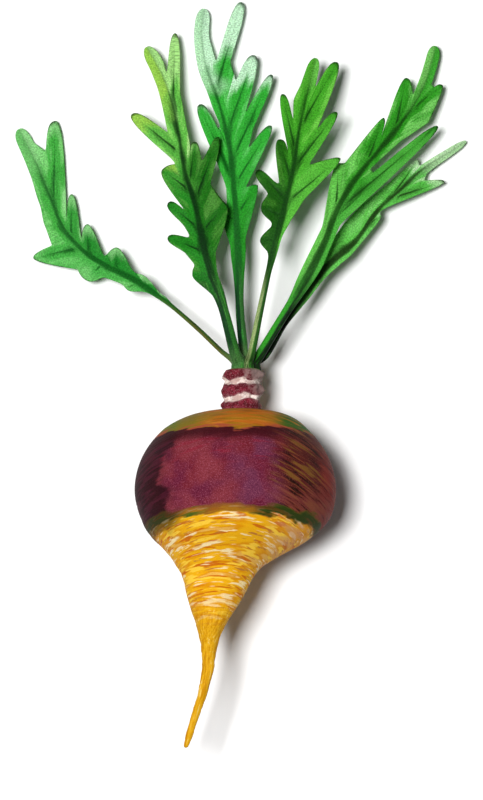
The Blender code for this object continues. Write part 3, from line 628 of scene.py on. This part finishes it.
def skin_detail(along, angle, radius):
    """Height, in millimetres, of the wrinkles, scars and scales on the root's skin."""
    ring = Vector((math.cos(angle) * radius, 0.0, math.sin(angle) * radius))
    on_neck = smoothstep(46.0, 50.0, along)
    scales = waver(ring.x * 0.34, along * 0.5, ring.z * 0.34) * 0.9
    scales += waver(ring.x * 0.9, along * 1.3, ring.z * 0.9) * 0.4
    crinkles = waver(ring.x * 0.05, along * 0.45, ring.z * 0.05 + 7.0)
    crinkles = -0.55 * max(0.0, crinkles - 0.12) * smoothstep(10.0, -25.0, along)
    scars = waver(ring.x * 0.09, along * 0.9, ring.z * 0.09 + 3.0)
    scars = -0.5 * max(0.0, scars - 0.3) * smoothstep(-5.0, -35.0, along)
    pores = 0.05 * waver(ring.x * 0.6, along * 0.8, ring.z * 0.6)
    knobs = 0.35 * waver(ring.x * 0.3, along * 0.16, ring.z * 0.3)
    knobs *= smoothstep(-55.0, -75.0, along)
    return scales * on_neck + (crinkles + scars + pores) * (1.0 - on_neck) + knobs


def build_root():
    """Swollen root with its neck and tap root: a fine turned body, bent and tilted as it grew and lies."""
    solid = bmesh.new()
    line = even_line([(radius, along, 0.0) for along, radius in ROOT_PROFILE], SKIN_SPACING)
    chain = [Vector((0.0, line[0].y + 0.2, 0.0)), *line, Vector((0.0, line[-1].y - 0.6, 0.0))]
    verts = [solid.verts.new(point) for point in chain]
    edges = [solid.edges.new(pair) for pair in zip(verts, verts[1:])]
    bmesh.ops.spin(
        solid, geom=verts + edges, cent=(0, 0, 0), axis=(0, 1, 0), angle=math.tau, steps=SKIN_SEGMENTS,
        use_merge=True,
    )
    bmesh.ops.remove_doubles(solid, verts=solid.verts, dist=0.005)
    bmesh.ops.recalc_face_normals(solid, faces=solid.faces)
    grown, creases = [], []
    for vert in solid.verts:
        along, radius = vert.co.y, math.hypot(vert.co.x, vert.co.z)
        angle = math.atan2(vert.co.z, vert.co.x)
        relief = root_relief(along, angle)
        if radius > 0.5:
            relief += skin_detail(along, angle, radius) / radius
        droop = TAIL_DROOP * min(along - TAIL_START, 0.0) ** 2
        grown.append((vert.co.x * relief, along, vert.co.z * relief))
        wander = 1.6 * waver(vert.co.x * 0.12, 1.0, vert.co.z * 0.12)
        wander += 0.8 * waver(vert.co.x * 0.4, along * 0.2, vert.co.z * 0.4)
        breadth = 1.7 + 1.5 * waver(vert.co.x * 0.13, along * 0.1, vert.co.z * 0.13 + 4.0)
        creases.append(max(math.exp(-((along + wander - crease) / breadth) ** 2) for crease in CREASES))
        along += ring_wave(along, angle)
        across = vert.co.x * relief + read_table(ROOT_DRIFT, along)
        place = root_frame(along, across, vert.co.z * relief - droop)
        place.z = max(place.z, 0.0)
        vert.co = place * MM
    piece = finish_piece("swollen_root", solid, rutabaga_skin())
    add_attribute(piece.data, "grown", "FLOAT_VECTOR", grown)
    add_attribute(piece.data, "crease", "FLOAT", creases)


class Leaf:
    """One leaf: a midrib in space, and an outline of fingers and notches on each side of it."""

    def __init__(self, shape):
        self.shape = shape
        across, up = shape["foot"]
        crown = ROOT_PROFILE[0][0] + FOOT_SINK
        across += read_table(ROOT_DRIFT, crown)
        foot = [root_frame(crown, across, up), root_frame(crown + FOOT_RISE, across, up)]
        self.line = smooth_line([*foot, *shape["route"]], 12)
        self.run = [shape["start"] - FOOT_DEPTH]
        for first, second in zip(self.line, self.line[1:]):
            self.run.append(self.run[-1] + (second - first).xy.length)
        self.length = self.run[-1]

    def place(self, along):
        """Middle of the midrib at a distance along it."""
        index = min(max(bisect_right(self.run, along), 1), len(self.run) - 1)
        low, high = self.run[index - 1], self.run[index]
        return self.line[index - 1].lerp(self.line[index], (along - low) / (high - low))

    def tangent(self, along):
        """Direction of the midrib, averaged over a short stretch."""
        reach = min(3.0, 0.4 + along - self.run[0])
        ahead, behind = min(along + reach, self.length), max(along - reach, self.run[0])
        return (self.place(ahead) - self.place(behind)).normalized()

    def heading(self, along):
        """Direction of the midrib seen from above."""
        return self.tangent(along).xy.normalized()

    def sideways(self, side, along):
        """Direction square to the midrib, to one side of it, seen from above."""
        heading = self.heading(along)
        return Vector((-heading.y, heading.x)) * side

    def rib_half(self, along):
        """Half the width of the stalk and midrib."""
        base = self.shape["stalk"][0] / 2.0
        return base + (RIB_TIP - base) * smoothstep(0.0, 1.05 * self.length, along) ** 0.6

    def rounding(self, along):
        """Narrows the leaf to a blunt round tip."""
        tip_run = self.shape["tip"][1]
        into = 0.97 * max(0.0, along - self.length + tip_run) / tip_run
        return math.sqrt(1.0 - into ** 2.5)

    def margin(self, side, along, out):
        """Place on the margin, a set distance out from the midrib."""
        return self.place(along).xy + self.sideways(side, along) * out * self.rounding(along)

    def notch(self, side, row):
        """Place of a notch or of a plain margin."""
        if len(row) == 3:
            return Vector(row[1:])
        return self.margin(side, *row)

    def flank(self, side, notch, tip, other, share):
        """Place on one long edge of a finger, from its notch (share 0) to its tip (share 1)."""
        start, point = self.notch(side, notch), Vector(tip[1:3])
        axis = (point - (start + self.notch(side, other)) / 2.0).normalized()
        outward = Vector((-axis.y, axis.x)) * side * (1.0 if notch[0] < tip[0] else -1.0) * tip[3] / 2.0
        middle = start.lerp(point + outward, 0.5)
        shoulder = point + outward * 1.15
        rest = 1.0 - share
        return (
            start * rest ** 3 + middle * 3.0 * share * rest ** 2 + shoulder * 3.0 * share ** 2 * rest
            + point * share ** 3
        )

    def edge(self, side, along):
        """Place on the leaf's outline that the vein from a place along the midrib runs to."""
        rows = self.shape["left" if side > 0 else "right"]
        if along <= rows[0][0]:
            start = self.rib_half(along)
            share = smoothstep(-12, 0, along - rows[0][0])
            return self.margin(side, along, start + (rows[0][1] - start) * share)
        for index, (first, second) in enumerate(zip(rows, rows[1:])):
            if along > second[0]:
                continue
            share = (along - first[0]) / (second[0] - first[0])
            if len(second) == 4:
                return self.flank(side, first, second, rows[index + 2], share)
            if len(first) == 4:
                return self.flank(side, second, first, rows[index - 1], 1.0 - share)
            if len(first) == 2 and len(second) == 2:
                return self.margin(side, along, first[1] + (second[1] - first[1]) * smoothstep(0, 1, share))
            return self.notch(side, first).lerp(self.notch(side, second), share)
        last_along, last_out = rows[-1]
        share = (along - last_along) / (self.length - last_along)
        return self.margin(side, along, last_out + (self.shape["tip"][0] - last_out) * share)

    def height(self, along, spot):
        """Height of the blade's middle surface over a spot reached from a place along the midrib."""
        offset = spot - self.place(along).xy
        ahead = along + offset.dot(self.heading(along))
        beyond = max(ahead - self.length, 0.0)
        level = self.place(min(max(ahead, 0.0), self.length)).z - 0.15 * beyond
        away = offset.length
        lift = 0.12 * away * math.exp(-away / 25.0)
        wave = self.shape["wave"] * math.sin(math.tau * along / 21.0) * smoothstep(2.0, 12.0, away)
        return max(level + lift + wave, BLADE_HALF + 1.0)

    def stations(self):
        """Places along the midrib that get a ring of points, closer where the outline follows a finger."""
        tip_run = self.shape["tip"][1]
        keys = {row[0] for side in ("left", "right") for row in self.shape[side]}
        keys |= {self.run[0], *(self.length - tip_run * share for share in TIP_SHARES)}
        stops = sorted(keys)
        places = [stops[0]]
        for low, high in zip(stops, stops[1:]):
            if high - low < 0.05:
                continue
            outline = max((self.edge(side, high) - self.edge(side, low)).length for side in (1, -1))
            count = max(math.ceil((high - low) / ROW_SPACING), math.ceil(outline / EDGE_SPACING))
            places += [low + (high - low) * (step + 1) / count for step in range(count)]
        return places

    def side_veins(self, side):
        """The side veins on one side, seen from above: each from the midrib to the tip of a finger."""
        rows = self.shape["left" if side > 0 else "right"]
        return [(self.place(row[0]).xy, Vector(row[1:3])) for row in rows if len(row) == 4]


def leaf_plan(leaf, places):
    """Points of the blade seen from above: a row for each place, from the left margin to the right one."""
    rows = []
    for along in places:
        centre = leaf.place(along).xy
        row = []
        for side, shares in ((1, SIDE_SHARES), (-1, SIDE_SHARES[::-1])):
            end = leaf.edge(side, along)
            sideways = leaf.sideways(side, along)
            start = centre + sideways * min(leaf.rib_half(along), 0.6 * (end - centre).dot(sideways))
            row += [start.lerp(end, share) for share in shares]
            if side > 0:
                left_rib = start
        right_rib = row[len(SIDE_SHARES)]
        half = [left_rib.lerp(right_rib, 0.5 - 0.5 * share) for share in RIB_SHARES]
        rows.append(row[:len(SIDE_SHARES)] + half + row[len(SIDE_SHARES):])
    plan = np.array([[tuple(point) for point in row] for row in rows])
    # The inner points settle between their neighbours, which opens the narrow places next to notches.
    inner = [*SETTLED_COLUMNS, *(plan.shape[1] - 1 - column for column in SETTLED_COLUMNS)]
    for _ in range(SETTLING_ROUNDS):
        around = (plan[:-2, inner] + plan[2:, inner] + plan[1:-1, [i - 1 for i in inner]]
                  + plan[1:-1, [i + 1 for i in inner]]) / 4.0
        plan[1:-1, inner] = 0.5 * plan[1:-1, inner] + 0.5 * around
    return plan


def distance_to_vein(point, foot, tip):
    """Distance from a point to a vein, and how far along the vein it is, from 0 to 1."""
    span = tip - foot
    share = min(max((point - foot).dot(span) / span.length_squared, 0.0), 1.0)
    return (point - foot.lerp(tip, share)).length, share


def vein_marks(spot, veins, from_centre, half_wide, leaf_tip):
    """Strength of a side vein at a spot, depth of the green round veins, and distance to the vein's end."""
    vein, deep = 0.0, math.exp(-(from_centre / (half_wide + 2.6)) ** 2)
    ends = [(from_centre, (spot - leaf_tip).length)]
    for foot, tip in veins:
        away, gone = distance_to_vein(spot, foot, tip)
        ends.append((away, (spot - tip).length))
        faded = 1.0 - 0.6 * gone
        vein = max(vein, math.exp(-(away / (1.15 - 0.75 * gone)) ** 2) * faded)
        deep = max(deep, math.exp(-(away / (4.4 - 2.0 * gone)) ** 2) * faded)
    return vein, deep, min(ends)[1]


def blade_relief(spot, share, from_centre, seed):
    """Height, in millimetres, of the puckers of the blade and the ruffle of its margin."""
    pucker = 0.9 * waver(spot.x * 0.16, spot.y * 0.16, seed)
    pucker *= smoothstep(2.0, 8.0, from_centre)
    pucker += 0.22 * waver(spot.x * 0.5, spot.y * 0.5, seed)
    ruffle = 0.8 * waver(spot.x * 0.22, spot.y * 0.22, seed + 9.0) * share ** 2
    return (pucker + ruffle) * smoothstep(0.0, 0.3, share)


def build_leaf(name, shape):
    """A closed leaf: a sheet rolled into a tube of rings along the midrib, thin at its margin."""
    leaf = Leaf(shape)
    places = leaf.stations()
    plan = leaf_plan(leaf, places)
    columns = plan.shape[1]
    around = 2 * columns - 2
    middle = columns // 2
    veins = {1: leaf.side_veins(1), -1: leaf.side_veins(-1)}
    seed = sum(ord(letter) for letter in name) * 0.37
    leaf_tip = leaf.place(leaf.length).xy
    rings, marks, reaches, grown, flows = [], [], [], [], []
    for along, row in zip(places, plan):
        centre, tangent = leaf.place(along), leaf.tangent(along)
        across = leaf.sideways(-1, along).to_3d()
        raised = across.cross(tangent)
        half_wide = leaf.rib_half(along)
        tapered = 1.0 - smoothstep(0.0, leaf.length, along)
        half_high = leaf.shape["stalk"][1] / 2.0 * (0.25 + 0.75 * tapered)
        flare = 1.0 + 0.35 * smoothstep(9.0, -2.0, along)
        blade_share = smoothstep(*leaf.shape["blade"], along)
        top, under, values = [], [], []
        for column, flat in enumerate(row):
            spot = Vector(flat)
            side = 1 if column < middle else -1
            from_rib = abs(column - middle)
            share = 0.0 if from_rib < 2 else SIDE_SHARES[::-1][from_rib - 2]
            from_centre = (spot - centre.xy).length
            vein, deep, to_end = vein_marks(spot, veins[side], from_centre, half_wide, leaf_tip)
            vein *= smoothstep(0.0, 0.15, share) * blade_share
            rib = math.exp(-(from_centre / (half_wide * 1.25)) ** 2)
            level = leaf.height(along, spot) - VEIN_SINK * vein
            level += blade_relief(spot, share, from_centre, seed)
            thick = EDGE_HALF + (BLADE_HALF - EDGE_HALF) * smoothstep(0.0, 0.12, 1.0 - share)
            if share == 1.0:
                thick = 0.0
            top_rise = thick + 0.30 * half_high * rib
            under_drop = thick + max(half_high, BLADE_HALF + 0.3) * rib * 0.8 + 0.25 * vein
            turn = math.pi * (1.0 - column / (columns - 1))
            groove = 1.0 - STALK_GROOVE * math.exp(-((turn - math.pi / 2.0) / 0.5) ** 2)
            for store, sign, offset, dent in ((top, 1, top_rise, groove), (under, -1, -under_drop, 1.0)):
                round_spot = centre + flare * (
                    across * half_wide * math.cos(turn) + raised * sign * half_high * math.sin(turn) * dent)
                flat_spot = Vector((spot.x, spot.y, max(level + offset, FLOOR_GAP)))
                store.append(round_spot.lerp(flat_spot, blade_share))
            side_half = (Vector(row[0 if side > 0 else -1]) - centre.xy).length
            narrow = smoothstep(11.0, 6.0, side_half) if blade_share > 0.5 else 1.0
            values.append((vein, deep, to_end, narrow))
        rings.append(top + under[-2:0:-1])
        marks += values + values[-2:0:-1]
        reaches += [max(along, 0.0) / leaf.length] * around
        heading = leaf.heading(along)
        for index in range(around):
            on_top = index < columns
            column = index if on_top else around - index
            offset = Vector(row[column]) - centre.xy
            level = seed + (0.0 if on_top else 4.0)
            flows.append((along, offset.length * (1.0 if column < middle else -1.0), level))
            spread = offset.dot(Vector((heading.y, -heading.x)))
            spread = spread * blade_share + (column - middle) * 0.6 * (1.0 - blade_share)
            grown.append((spread, along + offset.dot(heading) * blade_share, level))

    solid = bmesh.new()
    bmesh.ops.create_grid(solid, x_segments=around, y_segments=len(rings) - 1, size=0.5)
    cells = [
        (round((vert.co.x + 0.5) * around) % around, round((vert.co.y + 0.5) * (len(rings) - 1)))
        for vert in solid.verts
    ]
    order = solid.verts.layers.int.new("order")
    for vert, (column, row) in zip(solid.verts, cells):
        vert.co = rings[row][column] * MM
        vert[order] = row * around + column
    bmesh.ops.remove_doubles(solid, verts=solid.verts, dist=1e-8)
    rims = [edge for edge in solid.edges if edge.is_boundary]
    bmesh.ops.holes_fill(solid, edges=rims)
    bmesh.ops.recalc_face_normals(solid, faces=solid.faces)
    solid.verts.ensure_lookup_table()
    kept = [vert[order] for vert in solid.verts]
    solid.verts.layers.int.remove(order)
    piece = finish_piece(name, solid, leaf_skin(name, LEAF_GREENS[name]))
    add_attribute(piece.data, "grown", "FLOAT_VECTOR", [grown[index] for index in kept])
    add_attribute(piece.data, "flow", "FLOAT_VECTOR", [flows[index] for index in kept])
    add_attribute(piece.data, "reach", "FLOAT", [reaches[index] for index in kept])
    for place, label in enumerate(("vein", "deep", "tip", "narrow")):
        add_attribute(piece.data, label, "FLOAT", [marks[index][place] for index in kept])


def build_floor():
    """Matt white board under the root."""
    sheet = bmesh.new()
    bmesh.ops.create_grid(sheet, x_segments=2, y_segments=2, size=FLOOR_HALF)
    mesh = bpy.data.meshes.new("floor")
    sheet.to_mesh(mesh)
    sheet.free()
    material, _, surface = new_material("matt_white_board")
    surface.inputs["Base Color"].default_value = linear(BOARD_WHITE)
    surface.inputs["Roughness"].default_value = 0.9
    surface.inputs["Specular IOR Level"].default_value = 0.1
    mesh.materials.append(material)
    floor = bpy.data.objects.new("floor", mesh)
    bpy.context.collection.objects.link(floor)


def add_light(name, direction, distance, size, power):
    """A square soft box that faces the root."""
    lamp = bpy.data.lights.new(name, "AREA")
    lamp.size = size
    lamp.energy = power
    holder = bpy.data.objects.new(name, lamp)
    place = Vector(direction).normalized() * distance
    holder.location = place + BOX_AIM
    holder.rotation_euler = place.to_track_quat("Z", "Y").to_euler()
    bpy.context.collection.objects.link(holder)


def light_scene():
    """Soft key light from the upper left, a faint one from the right, and an even white surround."""
    level = math.cos(KEY_RISE)
    key_direction = (level * math.cos(KEY_TURN), level * math.sin(KEY_TURN), math.sin(KEY_RISE))
    add_light("key_light", key_direction, *KEY_BOX)
    add_light("side_fill", SIDE_DIRECTION, *SIDE_BOX)
    world = bpy.data.worlds.new("studio")
    world.use_nodes = True
    backdrop = world.node_tree.nodes["Background"]
    backdrop.inputs["Color"].default_value = (1.0, 1.0, 1.0, 1.0)
    backdrop.inputs["Strength"].default_value = SURROUND_LIGHT
    bpy.context.scene.world = world
    bpy.context.scene.view_settings.view_transform = "Standard"


def place_camera():
    """Camera straight above, far off, with the neck and leaves towards the top of the picture."""
    lens = bpy.data.cameras.new("camera")
    lens.lens = CAMERA_LENS
    lens.sensor_width = FILM_WIDTH
    lens.clip_end = 20.0
    camera = bpy.data.objects.new("camera", lens)
    camera.location = (AIM + Vector((0.0, 0.0, CAMERA_DISTANCE))) * MM
    bpy.context.collection.objects.link(camera)
    bpy.context.scene.camera = camera


build_root()
for leaf_name, leaf_shape in LEAVES.items():
    build_leaf(leaf_name, leaf_shape)
build_floor()
light_scene()
place_camera()
